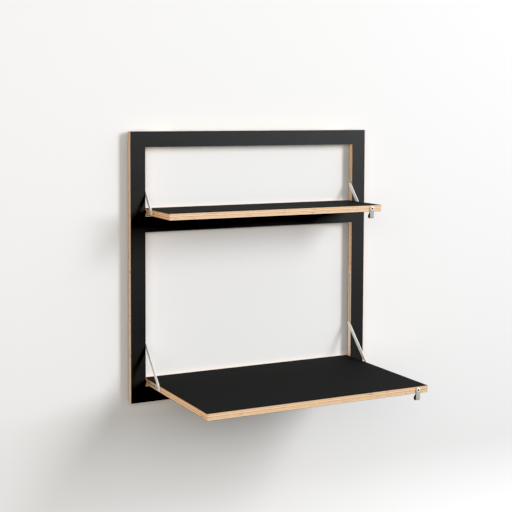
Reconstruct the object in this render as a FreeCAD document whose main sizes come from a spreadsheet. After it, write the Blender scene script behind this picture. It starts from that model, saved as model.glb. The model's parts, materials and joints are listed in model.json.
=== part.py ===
import FreeCAD, Part
import Sketcher
import math
import os

from FreeCAD import Placement, Rotation, Vector

# Fold down wall desk: a square frame with two openings, a desk flap in the lower one and a shelf flap
# in the upper one. Each flap turns on two pins near its rear edge and is held level by two steel stays,
# whose upper ends run on gliders in grooves routed into the inner edges of the frame.
# +X is to the right, +Y points into the wall and +Z is up. The origin lies on the wall plane, midway
# between the two hanger holes. Both flaps are drawn folded down.

# Driving sizes in millimetres
SIZES = {
    # Frame
    "frame_width": 800,
    "rail_width": 46,
    "desk_opening_height": 458,
    "shelf_opening_height": 204,
    "core_thickness": 18,
    "laminate_thickness": 0.8,
    "edge_easing": 0.4,
    "wall_gap": 10,
    # Flaps
    "side_gap": 4,
    "swing_clearance": 0.3,
    # Hinges
    "pin_diameter": 6,
    "pin_in_frame": 16,
    "pin_in_flap": 20,
    "running_clearance": 0.05,
    "bush_diameter": 9,
    "bush_tail": 2,
    "collar_diameter": 11,
    "collar_clearance": 0.3,
    # Stays
    "stay_width": 12,
    "stay_thickness": 2,
    "desk_stay_reach": 111,
    "desk_stay_length": 160,
    "shelf_stay_reach": 52,
    "shelf_stay_length": 80,
    "stud_diameter": 5,
    "stud_head_diameter": 8,
    "stud_in_flap": 12,
    "axial_play": 0.1,
    "face_clearance": 0.3,
    # Grooves, gliders, stops and the rails let in round the desk's grooves
    "groove_width": 6,
    "groove_depth": 8,
    "groove_margin": 10,
    "glider_length": 10,
    "glider_clearance": 0.2,
    "glider_boss_diameter": 5,
    "stop_diameter": 4.5,
    "stop_seat": 6,
    "slide_rail_width": 14,
    "slide_rail_thickness": 1.5,
    # Steel strips let into the side edges of the flaps
    "bracket_width": 8,
    "bracket_thickness": 2,
    "bracket_recess": 1,
    "bracket_clearance": 0.2,
    "bracket_start": 14,
    "anchor_half_length": 13,
    "side_screw_diameter": 3,
    "side_screw_head_diameter": 6,
    "side_screw_head_height": 1.5,
    "side_screw_length": 20,
    # Leather pull loops under the front edges
    "pull_inset": 34.5,
    "strap_width": 14,
    "strap_thickness": 1.2,
    "pull_drop": 21,
    "pull_bow": 13,
    "washer_diameter": 14,
    "washer_rim": 0.4,
    "washer_height": 1.5,
    "washer_lip": 0.8,
    "pull_screw_diameter": 4,
    "pull_screw_head_diameter": 6,
    "pull_screw_head_height": 1.2,
    "pull_screw_length": 30,
    # Hangers behind the top rail
    "hanger_inset": 100,
    "hanger_block_width": 70,
    "hanger_block_height": 36,
    "hanger_plate_width": 54,
    "hanger_plate_height": 26,
    "hanger_plate_thickness": 2,
    "keyhole_diameter": 9,
    "keyhole_slot_width": 4.5,
    "keyhole_rise": 7,
    "keyhole_room": 13,
    "hanger_screw_spacing": 40,
    "hanger_screw_diameter": 4,
    "hanger_screw_head_diameter": 7.5,
    "hanger_screw_head_height": 2,
    "hanger_screw_length": 20,
    # Rubber buffers behind the bottom rail
    "buffer_inset": 50,
    "buffer_diameter": 22,
    "buffer_edge_radius": 2,
    "buffer_recess_depth": 4,
    "buffer_screw_diameter": 4,
    "buffer_screw_head_diameter": 8,
    "buffer_screw_head_height": 3,
    "buffer_screw_length": 18,
}

# Places and sizes that follow from the driving sizes
PLACES = {
    "panel_thickness": "=sizes.core_thickness + 2 * sizes.laminate_thickness",
    "back_face": "=-sizes.wall_gap",
    "hinge_y": "=back_face - panel_thickness / 2",
    "frame_half": "=sizes.frame_width / 2",
    "opening_half": "=frame_half - sizes.rail_width",
    "flap_half": "=opening_half - sizes.side_gap",
    "frame_height": "=3 * sizes.rail_width + sizes.desk_opening_height + sizes.shelf_opening_height",
    "frame_top": "=sizes.rail_width / 2",
    "frame_bottom": "=frame_top - frame_height",
    # A pin on the middle of a square end leaves room for the end's corner to swing past the sill
    "pivot_setback": "=panel_thickness / 2",
    "hinge_rise": "=pivot_setback * sqrt(2) + sizes.swing_clearance",
    "end_gap": "=hinge_rise - pivot_setback",
    "flap_rear": "=hinge_y + pivot_setback",
    "desk_sill": "=frame_bottom + sizes.rail_width",
    "desk_hinge": "=desk_sill + hinge_rise",
    "desk_front": "=flap_rear - sizes.desk_opening_height + 2 * end_gap",
    "desk_lintel": "=desk_sill + sizes.desk_opening_height",
    "shelf_sill": "=desk_lintel + sizes.rail_width",
    "shelf_hinge": "=shelf_sill + hinge_rise",
    "shelf_front": "=flap_rear - sizes.shelf_opening_height + 2 * end_gap",
    "shelf_lintel": "=shelf_sill + sizes.shelf_opening_height",
    # Each stay closes a right triangle with its flap and the frame while the flap is down
    "desk_stay_rise": "=sqrt(sizes.desk_stay_length ^ 2 - sizes.desk_stay_reach ^ 2)",
    "shelf_stay_rise": "=sqrt(sizes.shelf_stay_length ^ 2 - sizes.shelf_stay_reach ^ 2)",
    "desk_stud_y": "=hinge_y - sizes.desk_stay_reach",
    "shelf_stud_y": "=hinge_y - sizes.shelf_stay_reach",
    "desk_glider": "=desk_hinge + desk_stay_rise",
    "shelf_glider": "=shelf_hinge + shelf_stay_rise",
    "desk_glider_folded": "=desk_hinge + sizes.desk_stay_reach + sizes.desk_stay_length",
    "shelf_glider_folded": "=shelf_hinge + sizes.shelf_stay_reach + sizes.shelf_stay_length",
    "groove_end": "=sizes.groove_margin - sizes.groove_width / 2",
    # A stop stands clear of the glider when the flap is folded up
    "stop_rise": "=sizes.glider_length / 2 + sizes.glider_clearance + sizes.stop_diameter / 2",
    "desk_stop": "=desk_glider_folded + stop_rise",
    "bar_inner": "=flap_half + (sizes.side_gap - sizes.stay_thickness) / 2",
    "bar_outer": "=bar_inner + sizes.stay_thickness",
    "strip_face": "=flap_half - sizes.bracket_recess",
    "pull_x": "=flap_half - sizes.pull_inset",
    "hanger_half": "=frame_half - sizes.hanger_inset",
    "hanger_rise": "=sizes.keyhole_rise / 2",
    "buffer_half": "=frame_half - sizes.buffer_inset",
    "buffer_z": "=frame_bottom + sizes.rail_width / 2",
}

# Distance below which two places count as the same
TINY = 1e-6
FLAPS = ("desk", "shelf")
SIDES = {"left": "-1", "right": "1"}
# Turns that lay a piece drawn along +Z along another axis
TURNS = {
    "right": Rotation(Vector(0, 1, 0), 90),
    "left": Rotation(Vector(0, 1, 0), -90),
    "front": Rotation(Vector(1, 0, 0), 90),
    "rear": Rotation(Vector(1, 0, 0), -90),
}

doc = FreeCAD.newDocument("fold_down_wall_desk")


# Sheets, sketches and features
def make_sheet(name, cells):
    """One named cell for each size or formula."""
    sheet = doc.addObject("Spreadsheet::Sheet", name)
    for row, (alias, content) in enumerate(cells.items(), start=1):
        sheet.set(f"A{row}", alias)
        sheet.set(f"B{row}", str(content))
        sheet.setAlias(f"B{row}", alias)


def value(expression):
    """The plain number that an expression on the sheets comes to."""
    result = doc.sizes.evalExpression(expression)
    return float(getattr(result, "Value", result))


def new_body(name):
    """An empty body."""
    return doc.addObject("PartDesign::Body", name)


def new_sketch(body, role, offset="0"):
    """A sketch parallel to one of the body's own planes, at an offset along that plane's normal."""
    plane = next(item for item in body.Origin.OriginFeatures if item.Role == role)
    sketch = body.newObject("Sketcher::SketchObject", body.Name + "_sketch")
    sketch.AttachmentSupport = [(plane, "")]
    sketch.MapMode = "FlatFace"
    sketch.setExpression("AttachmentOffset.Base.z", offset)
    return sketch


def bind(sketch, kind, where, expression):
    """A dimension of the sketch that follows an expression on the sheets."""
    index = sketch.addConstraint(Sketcher.Constraint(kind, *where, value(expression)))
    sketch.setExpression(f"Constraints[{index}]", expression)


def bind_point(sketch, geometry, point, across, up):
    """A point of the sketch held at two expressions from the sketch's origin."""
    bind(sketch, "DistanceX", (-1, 1, geometry, point), across)
    bind(sketch, "DistanceY", (-1, 1, geometry, point), up)


def rectangle(sketch, left, right, bottom, top):
    """An upright rectangle between four expressions."""
    low = Vector(value(left), value(bottom), 0)
    high = Vector(value(right), value(top), 0)
    corners = [low, Vector(high.x, low.y, 0), high, Vector(low.x, high.y, 0)]
    lines = [
        sketch.addGeometry(Part.LineSegment(corners[i], corners[(i + 1) % 4]), False) for i in range(4)
    ]
    for i, line in enumerate(lines):
        sketch.addConstraint(Sketcher.Constraint("Coincident", line, 2, lines[(i + 1) % 4], 1))
        sketch.addConstraint(Sketcher.Constraint("Vertical" if i % 2 else "Horizontal", line))
    bind_point(sketch, lines[0], 1, left, bottom)
    bind_point(sketch, lines[2], 1, right, top)


def circle(sketch, across, up, radius):
    """A circle of one radius about a point."""
    middle = Vector(value(across), value(up), 0)
    ring = sketch.addGeometry(Part.Circle(middle, Vector(0, 0, 1), value(radius)), False)
    bind_point(sketch, ring, 3, across, up)
    bind(sketch, "Radius", (ring,), radius)


def arc_about(middle, radius, start, end):
    """A circular arc between two angles, anticlockwise."""
    return Part.ArcOfCircle(Part.Circle(middle, Vector(0, 0, 1), radius), start, end)


def slot(sketch, first, second, radius):
    """Two half circles about two points, joined by their common tangents."""
    middles = [Vector(value(point[0]), value(point[1]), 0) for point in (first, second)]
    size = value(radius)
    along = middles[1] - middles[0]
    turn = math.atan2(along.y, along.x)
    side = Vector(-math.sin(turn), math.cos(turn), 0) * size
    quarter = math.pi / 2
    first_arc = sketch.addGeometry(arc_about(middles[0], size, turn + quarter, turn + 3 * quarter), False)
    second_arc = sketch.addGeometry(arc_about(middles[1], size, turn - quarter, turn + quarter), False)
    upper = sketch.addGeometry(Part.LineSegment(middles[0] + side, middles[1] + side), False)
    lower = sketch.addGeometry(Part.LineSegment(middles[1] - side, middles[0] - side), False)
    sketch.addConstraint(Sketcher.Constraint("Tangent", upper, 1, first_arc, 1))
    sketch.addConstraint(Sketcher.Constraint("Tangent", upper, 2, second_arc, 2))
    sketch.addConstraint(Sketcher.Constraint("Tangent", lower, 1, second_arc, 1))
    sketch.addConstraint(Sketcher.Constraint("Tangent", lower, 2, first_arc, 2))
    sketch.addConstraint(Sketcher.Constraint("Equal", first_arc, second_arc))
    bind_point(sketch, first_arc, 3, *first)
    bind_point(sketch, second_arc, 3, *second)
    bind(sketch, "Radius", (first_arc,), radius)


def pad(body, sketch, length, reverse=False):
    """The sketch drawn out along its normal, or against it."""
    feature = body.newObject("PartDesign::Pad", body.Name + "_pad")
    feature.Profile = sketch
    feature.setExpression("Length", length)
    feature.Reversed = reverse
    return feature


def pocket(body, sketch, length, side_type="One side"):
    """The sketch cut out against its normal, or to both sides of its plane."""
    feature = body.newObject("PartDesign::Pocket", body.Name + "_pocket")
    feature.Profile = sketch
    feature.SideType = side_type
    feature.setExpression("Length", length)
    return feature


def edges_on(feature, axis, level):
    """The names and edges of a feature that lie at one level along an axis."""
    doc.recompute()
    height = value(level)
    return [
        (f"Edge{number}", edge)
        for number, edge in enumerate(feature.Shape.Edges, start=1)
        if all(abs(getattr(vertex.Point, axis) - height) < TINY for vertex in edge.Vertexes)
    ]


def ease(body, feature, axis, level):
    """A small chamfer along every edge of the face at one level."""
    chamfer = body.newObject("PartDesign::Chamfer", body.Name + "_easing")
    chamfer.Base = (feature, [name for name, edge in edges_on(feature, axis, level)])
    chamfer.setExpression("Size", "sizes.edge_easing")


# Primitives and booleans
def primitive(kind, name, turn, place, **sizes):
    """A primitive turned from +Z, with its place and sizes bound to the sheets."""
    item = doc.addObject(kind, name)
    item.Placement = Placement(Vector(), TURNS[turn])
    for axis, expression in zip("xyz", place):
        item.setExpression(f"Placement.Base.{axis}", expression)
    for size, expression in sizes.items():
        item.setExpression(size, expression)
    return item


def round_bar(name, turn, place, diameter, length):
    """A cylinder that starts at a point."""
    radius = f"({diameter}) / 2"
    return primitive("Part::Cylinder", name, turn, place, Radius=radius, Height=length)


def fuse(name, *pieces):
    """Several forms as one solid."""
    result = doc.addObject("Part::MultiFuse", name)
    result.Shapes = list(pieces)
    return result


def group(name, pieces):
    """Separate solids under one name."""
    result = doc.addObject("Part::Compound", name)
    result.Links = list(pieces)
    return result


def cut(name, base, tools):
    """A piece with the places of other pieces taken out of it."""
    result = doc.addObject("Part::Cut", name)
    result.Base = base
    result.Tool = group(name + "_tools", tools)
    return result


def screw(name, turn, place, maker):
    """A countersunk screw with its flat head at a point, its shank along the turned axis."""
    shank = round_bar(name + "_shank", turn, place, f"sizes.{maker}_diameter", f"sizes.{maker}_length")
    head = primitive(
        "Part::Cone",
        name + "_head",
        turn,
        place,
        Radius1=f"sizes.{maker}_head_diameter / 2",
        Radius2=f"sizes.{maker}_diameter / 2",
        Height=f"sizes.{maker}_head_height",
    )
    return fuse(name, shank, head)


# Sheet goods
def frame_layer(name, behind, thickness, eased=None):
    """One layer of the frame, from a depth behind it forwards, with the edges of one face eased or none."""
    body = new_body(name)
    sketch = new_sketch(body, "XZ_Plane", behind)
    rectangle(sketch, "-places.frame_half", "places.frame_half", "places.frame_bottom", "places.frame_top")
    for flap in FLAPS:
        sill, lintel = f"places.{flap}_sill", f"places.{flap}_lintel"
        rectangle(sketch, "-places.opening_half", "places.opening_half", sill, lintel)
    sheet = pad(body, sketch, thickness)
    if eased:
        ease(body, sheet, "y", eased)
    return body


def flap_layer(name, flap, bottom, thickness, eased=None):
    """One layer of a level flap, from its lower face up, with the edges of one face eased or none."""
    body = new_body(name)
    sketch = new_sketch(body, "XY_Plane", bottom)
    rectangle(sketch, "-places.flap_half", "places.flap_half", f"places.{flap}_front", "places.flap_rear")
    sheet = pad(body, sketch, thickness)
    if eased:
        ease(body, sheet, "z", eased)
    return body


def groove_ends(flap):
    """The middles of the round ends of a groove."""
    low = ("places.hinge_y", f"places.{flap}_glider - places.groove_end")
    high = ("places.hinge_y", f"places.{flap}_glider_folded + places.groove_end")
    return low, high


def frame_blank():
    """The frame's plywood with the grooves for the gliders in the inner edges of both stiles."""
    behind = "sizes.wall_gap + sizes.laminate_thickness"
    body = frame_layer("frame_blank", behind, "sizes.core_thickness")
    sketch = new_sketch(body, "YZ_Plane")
    for flap in FLAPS:
        slot(sketch, *groove_ends(flap), "sizes.groove_width / 2")
    pocket(body, sketch, "2 * (places.opening_half + sizes.groove_depth)", "Symmetric")
    return body


# Hinges
def hinge_pin(flap, side, sign):
    """A plain steel pin pressed into the stile, standing out across the side gap into the flap."""
    inner = "(places.flap_half - sizes.pin_in_flap)"
    place = (f"{sign} * {inner}", "places.hinge_y", f"places.{flap}_hinge")
    length = "sizes.pin_in_flap + sizes.side_gap + sizes.pin_in_frame"
    return round_bar(f"{flap}_hinge_pin_{side}", side, place, "sizes.pin_diameter", length)


def hinge_bush(flap, side, sign):
    """A nylon bush let into the flap's side, with a collar that keeps the flap off the stile."""
    name = f"{flap}_hinge_bush_{side}"
    depth = "(sizes.pin_in_flap + sizes.bush_tail)"
    height = f"places.{flap}_hinge"
    start = (f"{sign} * (places.flap_half - {depth})", "places.hinge_y", height)
    face = (f"{sign} * places.flap_half", "places.hinge_y", height)
    barrel = round_bar(name + "_barrel", side, start, "sizes.bush_diameter", depth)
    width = "sizes.side_gap - sizes.collar_clearance"
    collar = round_bar(name + "_collar", side, face, "sizes.collar_diameter", width)
    outside = fuse(name + "_outside", barrel, collar)
    bore_width = "sizes.pin_diameter + 2 * sizes.running_clearance"
    bore = round_bar(name + "_bore", side, start, bore_width, f"{depth} + sizes.side_gap")
    return cut(name, outside, [bore]), outside


# Stays and what carries them
def stay_stud(flap, side, sign):
    """A steel stud in the flap's side: shank, shoulder on the strip, journal for the stay and a flat head."""
    name = f"{flap}_stay_stud_{side}"
    height = f"places.{flap}_hinge"
    across = f"places.{flap}_stud_y"
    root = (f"{sign} * (places.flap_half - sizes.stud_in_flap)", across, height)
    face = (f"{sign} * places.strip_face", across, height)
    end = (f"{sign} * (places.bar_outer + sizes.axial_play)", across, height)
    reach = "sizes.stud_in_flap + places.bar_outer + sizes.axial_play - places.flap_half"
    journal = round_bar(name + "_journal", side, root, "sizes.stud_diameter", reach)
    step = "places.bar_inner - sizes.axial_play - places.strip_face"
    shoulder = round_bar(name + "_shoulder", side, face, "sizes.stud_head_diameter", step)
    rest = "places.opening_half - sizes.face_clearance - places.bar_outer - sizes.axial_play"
    head = round_bar(name + "_head", side, end, "sizes.stud_head_diameter", rest)
    return fuse(name, journal, shoulder, head)


def stay(flap, side, sign):
    """A flat steel bar with round ends, drawn upright from its lower eye and leant back to the frame."""
    body = new_body(f"{flap}_stay_{side}")
    sketch = new_sketch(body, "YZ_Plane", f"{sign} * places.bar_inner")
    length = f"sizes.{flap}_stay_length"
    slot(sketch, ("0", "0"), ("0", length), "sizes.stay_width / 2")
    circle(sketch, "0", "0", "sizes.stud_diameter / 2 + sizes.running_clearance")
    circle(sketch, "0", length, "sizes.stud_diameter / 2")
    pad(body, sketch, "sizes.stay_thickness", side == "left")
    lean = f"-atan(sizes.{flap}_stay_reach / places.{flap}_stay_rise)"
    body.Placement = Placement(Vector(), Rotation(Vector(1, 0, 0), value(lean)))
    body.setExpression("Placement.Base.y", f"places.{flap}_stud_y")
    body.setExpression("Placement.Base.z", f"places.{flap}_hinge")
    body.setExpression("Placement.Rotation.Angle", lean)
    return body


def stay_rivet(flap, side, sign):
    """The rivet in a stay's upper eye, flush beside the glider, with a flat head beside the flap."""
    name = f"{flap}_stay_rivet_{side}"
    spot = ("places.hinge_y", f"places.{flap}_glider")
    inner = (f"{sign} * places.bar_inner", *spot)
    start = (f"{sign} * (places.flap_half + sizes.face_clearance)", *spot)
    shank = round_bar(name + "_shank", side, inner, "sizes.stud_diameter", "sizes.stay_thickness")
    rest = "places.bar_inner - places.flap_half - sizes.face_clearance"
    head = round_bar(name + "_head", side, start, "sizes.stud_head_diameter", rest)
    return fuse(name, shank, head)


def glider(flap, side, sign):
    """A nylon glider in its groove, with a round boss towards the stay."""
    body = new_body(f"{flap}_glider_{side}")
    outward = side == "left"
    spot = f"places.{flap}_glider"
    width = "(sizes.groove_width / 2 - sizes.glider_clearance)"
    half = f"(sizes.glider_length / 2 - {width})"
    block = new_sketch(body, "YZ_Plane", f"{sign} * places.opening_half")
    low = ("places.hinge_y", f"{spot} - {half}")
    high = ("places.hinge_y", f"{spot} + {half}")
    slot(block, low, high, width)
    pad(body, block, "sizes.groove_depth - sizes.glider_clearance", outward)
    boss = new_sketch(body, "YZ_Plane", f"{sign} * places.opening_half")
    circle(boss, "places.hinge_y", spot, "sizes.glider_boss_diameter / 2")
    pad(body, boss, "places.opening_half - sizes.face_clearance - places.bar_outer", not outward)
    return body


def groove_stop(side, sign):
    """A steel pin at the upper end of a desk groove, flush with the stile's edge."""
    depth = "sizes.groove_depth + sizes.stop_seat"
    place = (f"{sign} * places.opening_half", "places.hinge_y", "places.desk_stop")
    return round_bar(f"desk_groove_stop_{side}", side, place, "sizes.stop_diameter", depth)


def slide_rail(side, sign):
    """A steel plate flush with a stile's edge, round about the hinge pin and the stop, slotted as the groove."""
    body = new_body(f"desk_slide_rail_blank_{side}")
    face = f"{sign} * places.opening_half"
    plate = new_sketch(body, "YZ_Plane", face)
    low, high = ("places.hinge_y", "places.desk_hinge"), ("places.hinge_y", "places.desk_stop")
    slot(plate, low, high, "sizes.slide_rail_width / 2")
    pad(body, plate, "sizes.slide_rail_thickness", side == "left")
    way = new_sketch(body, "YZ_Plane", face)
    slot(way, *groove_ends("desk"), "sizes.groove_width / 2")
    pocket(body, way, "2 * sizes.slide_rail_thickness", "Symmetric")
    return body


def side_slot(name, flap, side, sign, ends, face, depth, radius):
    """A flat form with round ends, from a face beside the flap inwards."""
    body = new_body(name)
    sketch = new_sketch(body, "YZ_Plane", f"{sign} * {face}")
    height = f"places.{flap}_hinge"
    rear, front = ends
    slot(sketch, (rear, height), (front, height), radius)
    pad(body, sketch, depth, side == "right")
    return body


def side_strip(name, flap, side, sign, ends):
    """A flat steel strip below the flap's side face, and the routed slot that it lies in."""
    depth = "sizes.bracket_thickness"
    radius = "sizes.bracket_width / 2"
    strip = side_slot(f"{name}_blank_{side}", flap, side, sign, ends, "places.strip_face", depth, radius)
    depth = f"{depth} + sizes.bracket_recess"
    radius = f"{radius} + sizes.bracket_clearance"
    room = side_slot(f"{name}_slot_{side}", flap, side, sign, ends, "places.flap_half", depth, radius)
    return strip, room


# Pull loops
def teardrop(flap):
    """A leather strap folded into a teardrop: two leaves on the front edge, a round bow underneath."""
    body = new_body(f"{flap}_pull_fold")
    sketch = new_sketch(body, "YZ_Plane", "places.pull_x")
    edge = f"places.{flap}_front"
    face = f"{edge} - 2 * sizes.strap_thickness"
    under = f"places.{flap}_hinge - places.panel_thickness / 2"
    top = f"places.{flap}_hinge + sizes.strap_width / 2"
    bow = f"{under} - sizes.pull_drop + sizes.pull_bow / 2"
    radius = value("sizes.pull_bow / 2")
    thickness = value("sizes.strap_thickness")
    corner = Vector(value(edge), value(under), 0)
    middle = Vector(value(face) + radius, value(bow), 0)
    away = corner - middle
    turn = math.atan2(away.y, away.x) - math.acos(radius / away.Length)
    normal = Vector(math.cos(turn), math.sin(turn), 0)
    lane = Vector(-normal.y, normal.x, 0)
    inner = radius - thickness
    seam = middle.x - inner
    apex = middle + normal * inner + lane * ((seam - middle.x - normal.x * inner) / lane.x)
    front_top = Vector(value(face), value(top), 0)
    rear_top = Vector(corner.x, value(top), 0)
    front_foot = Vector(front_top.x, middle.y, 0)
    inner_foot = Vector(seam, middle.y, 0)

    def line(start, end):
        return sketch.addGeometry(Part.LineSegment(start, end), False)

    def join(kind, first, first_end, second, second_end):
        sketch.addConstraint(Sketcher.Constraint(kind, first, first_end, second, second_end))

    front_leaf = line(front_top, front_foot)
    outer_bow = sketch.addGeometry(arc_about(middle, radius, math.pi, turn + 2 * math.pi), False)
    rear_leaf = line(middle + normal * radius, corner)
    back = line(corner, rear_top)
    end = line(rear_top, front_top)
    join("Tangent", front_leaf, 2, outer_bow, 1)
    join("Tangent", outer_bow, 2, rear_leaf, 1)
    join("Coincident", rear_leaf, 2, back, 1)
    join("Coincident", back, 2, end, 1)
    join("Coincident", end, 2, front_leaf, 1)
    inner_front = line(apex, inner_foot)
    inner_bow = sketch.addGeometry(arc_about(middle, inner, math.pi, turn + 2 * math.pi), False)
    inner_rear = line(middle + normal * inner, apex)
    join("Tangent", inner_front, 2, inner_bow, 1)
    join("Tangent", inner_bow, 2, inner_rear, 1)
    join("Coincident", inner_rear, 2, inner_front, 1)
    join("Coincident", inner_bow, 3, outer_bow, 3)
    sketch.addConstraint(Sketcher.Constraint("Parallel", inner_rear, rear_leaf))
    for upright in (front_leaf, back, inner_front):
        sketch.addConstraint(Sketcher.Constraint("Vertical", upright))
    sketch.addConstraint(Sketcher.Constraint("Horizontal", end))
    bind_point(sketch, rear_leaf, 2, edge, under)
    bind_point(sketch, end, 2, face, top)
    bind(sketch, "DistanceY", (-1, 1, outer_bow, 3), bow)
    bind(sketch, "Radius", (outer_bow,), "sizes.pull_bow / 2")
    bind(sketch, "Radius", (inner_bow,), "sizes.pull_bow / 2 - sizes.strap_thickness")
    pad(body, sketch, "sizes.strap_width").SideType = "Symmetric"
    return body


def pull_loop(flap):
    """The folded strap with its upper end rounded about the screw."""
    outline = new_body(f"{flap}_pull_outline")
    reach = "(sizes.pull_drop + places.panel_thickness)"
    sketch = new_sketch(outline, "XZ_Plane", f"-places.{flap}_front - sizes.pull_bow")
    top = ("places.pull_x", f"places.{flap}_hinge")
    low = ("places.pull_x", f"places.{flap}_hinge - {reach}")
    slot(sketch, low, top, "sizes.strap_width / 2")
    pad(outline, sketch, "sizes.pull_bow + 3 * sizes.strap_thickness")
    result = doc.addObject("Part::Common", f"{flap}_pull_strap")
    result.Base = teardrop(flap)
    result.Tool = outline
    return result


def pull_fixing(flap):
    """The loop's countersunk screw, and the cup washer that its head sits in."""
    under = "2 * sizes.strap_thickness"

    def at(distance):
        return ("places.pull_x", f"places.{flap}_front - ({distance})", f"places.{flap}_hinge")

    rim = round_bar(f"{flap}_pull_rim", "front", at(under), "sizes.washer_diameter", "sizes.washer_rim")
    cup = primitive(
        "Part::Cone",
        f"{flap}_pull_cup",
        "front",
        at(f"{under} + sizes.washer_rim"),
        Radius1="sizes.washer_diameter / 2",
        Radius2="sizes.pull_screw_head_diameter / 2 + sizes.washer_lip",
        Height="sizes.washer_height - sizes.washer_rim",
    )
    fixing = screw(f"{flap}_pull_screw", "rear", at(f"{under} + sizes.washer_height"), "pull_screw")
    return fixing, cut(f"{flap}_pull_washer", fuse(f"{flap}_pull_cone", rim, cup), [fixing])


# Wall fixings
def hanger_plate_blank(side, sign):
    """A keyhole plate on the wall plane: a round entry with a narrower slot above it."""
    body = new_body(f"hanger_plate_blank_{side}")
    middle = f"{sign} * places.hanger_half"
    sketch = new_sketch(body, "XZ_Plane")
    half = "sizes.hanger_plate_width / 2"
    rise = "places.hanger_rise"
    bottom = f"{rise} - sizes.hanger_plate_height / 2"
    top = f"{rise} + sizes.hanger_plate_height / 2"
    rectangle(sketch, f"{middle} - {half}", f"{middle} + {half}", bottom, top)
    pad(body, sketch, "sizes.hanger_plate_thickness")
    entry = new_sketch(body, "XZ_Plane")
    circle(entry, middle, "0", "sizes.keyhole_diameter / 2")
    pocket(body, entry, "2 * sizes.hanger_plate_thickness", "Symmetric")
    neck = new_sketch(body, "XZ_Plane")
    slot(neck, (middle, "0"), (middle, "sizes.keyhole_rise"), "sizes.keyhole_slot_width / 2")
    pocket(body, neck, "2 * sizes.hanger_plate_thickness", "Symmetric")
    return body


def hanger_block_blank(side, sign):
    """A plywood block between the top rail and the wall, with room for the plate and a screw's head."""
    body = new_body(f"hanger_block_blank_{side}")
    middle = f"{sign} * places.hanger_half"
    rise = "places.hanger_rise"

    def area(sketch, width, height):
        left, right = f"{middle} - {width} / 2", f"{middle} + {width} / 2"
        rectangle(sketch, left, right, f"{rise} - {height} / 2", f"{rise} + {height} / 2")

    sketch = new_sketch(body, "XZ_Plane")
    area(sketch, "sizes.hanger_block_width", "sizes.hanger_block_height")
    pad(body, sketch, "sizes.wall_gap")
    recess = new_sketch(body, "XZ_Plane")
    area(recess, "sizes.hanger_plate_width", "sizes.hanger_plate_height")
    pocket(body, recess, "2 * sizes.hanger_plate_thickness", "Symmetric")
    room = new_sketch(body, "XZ_Plane")
    slot(room, (middle, "0"), (middle, "sizes.keyhole_rise"), "sizes.keyhole_room / 2")
    pocket(body, room, "2 * sizes.wall_gap", "Symmetric")
    return body


def hanger_screws():
    """Two countersunk screws through each hanger plate and block into the top rail."""
    screws = []
    for side, sign in SIDES.items():
        for end, step in (("outer", "+"), ("inner", "-")):
            across = f"{sign} * (places.hanger_half {step} sizes.hanger_screw_spacing / 2)"
            place = (across, "0", "places.hanger_rise")
            screws.append(screw(f"hanger_screw_{side}_{end}", "front", place, "hanger_screw"))
    return group("hanger_screws", screws)


def wall_buffer_blank(side, sign):
    """A turned rubber buffer with a rounded rim and a recess for its screw."""
    body = new_body(f"wall_buffer_blank_{side}")
    across = f"{sign} * places.buffer_half"
    profile = new_sketch(body, "XZ_Plane")
    circle(profile, across, "places.buffer_z", "sizes.buffer_diameter / 2")
    pad(body, profile, "sizes.wall_gap")
    recess = new_sketch(body, "XZ_Plane")
    circle(recess, across, "places.buffer_z", "sizes.buffer_screw_head_diameter / 2")
    hollow = pocket(body, recess, "2 * sizes.buffer_recess_depth", "Symmetric")
    name, widest = max(edges_on(hollow, "y", "0"), key=lambda named: named[1].Length)
    rim = body.newObject("PartDesign::Fillet", body.Name + "_rim")
    rim.Base = (hollow, [name])
    rim.setExpression("Radius", "sizes.buffer_edge_radius")
    return body


def buffer_screws():
    """One countersunk screw through each buffer into the bottom rail."""
    screws = []
    for side, sign in SIDES.items():
        place = (f"{sign} * places.buffer_half", "-sizes.buffer_recess_depth", "places.buffer_z")
        screws.append(screw(f"buffer_screw_{side}", "front", place, "buffer_screw"))
    return group("wall_buffer_screws", screws)


def side_screws(flap, name, spots):
    """Countersunk screws through the strips into the sides of a flap, heads flush with the strips."""
    screws = []
    for side, sign in SIDES.items():
        inward = "left" if side == "right" else "right"
        for number, spot in enumerate(spots, start=1):
            place = (f"{sign} * places.strip_face", spot, f"places.{flap}_hinge")
            screws.append(screw(f"{name}_{side}_{number}", inward, place, "side_screw"))
    return group(name, screws)


# Assemblies
def make_frame():
    """The frame with its hinge pins, groove stops, slide rails and wall fixings."""
    pins = [hinge_pin(flap, side, sign) for flap in FLAPS for side, sign in SIDES.items()]
    stops = [groove_stop(side, sign) for side, sign in SIDES.items()]
    rails = [slide_rail(side, sign) for side, sign in SIDES.items()]
    hanging = hanger_screws()
    buffering = buffer_screws()
    core = cut("frame_core", frame_blank(), [*pins, *stops, *rails, hanging, buffering])
    skin = "sizes.laminate_thickness"
    front_start = f"sizes.wall_gap + {skin} + sizes.core_thickness"
    front = frame_layer("frame_front_laminate", front_start, skin, f"-({front_start} + {skin})")
    rear = frame_layer("frame_rear_sheet", "sizes.wall_gap", skin, "-sizes.wall_gap")
    back = cut("frame_back_laminate", rear, [hanging, buffering])
    pieces = [core, front, back, *pins, *stops, hanging, buffering]
    for (side, sign), rail in zip(SIDES.items(), rails):
        pieces.append(cut(f"desk_slide_rail_{side}", rail, pins))
        pieces.append(cut(f"hanger_plate_{side}", hanger_plate_blank(side, sign), [hanging]))
        pieces.append(cut(f"hanger_block_{side}", hanger_block_blank(side, sign), [hanging]))
        pieces.append(cut(f"wall_buffer_{side}", wall_buffer_blank(side, sign), [buffering]))
    return pieces


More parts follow.
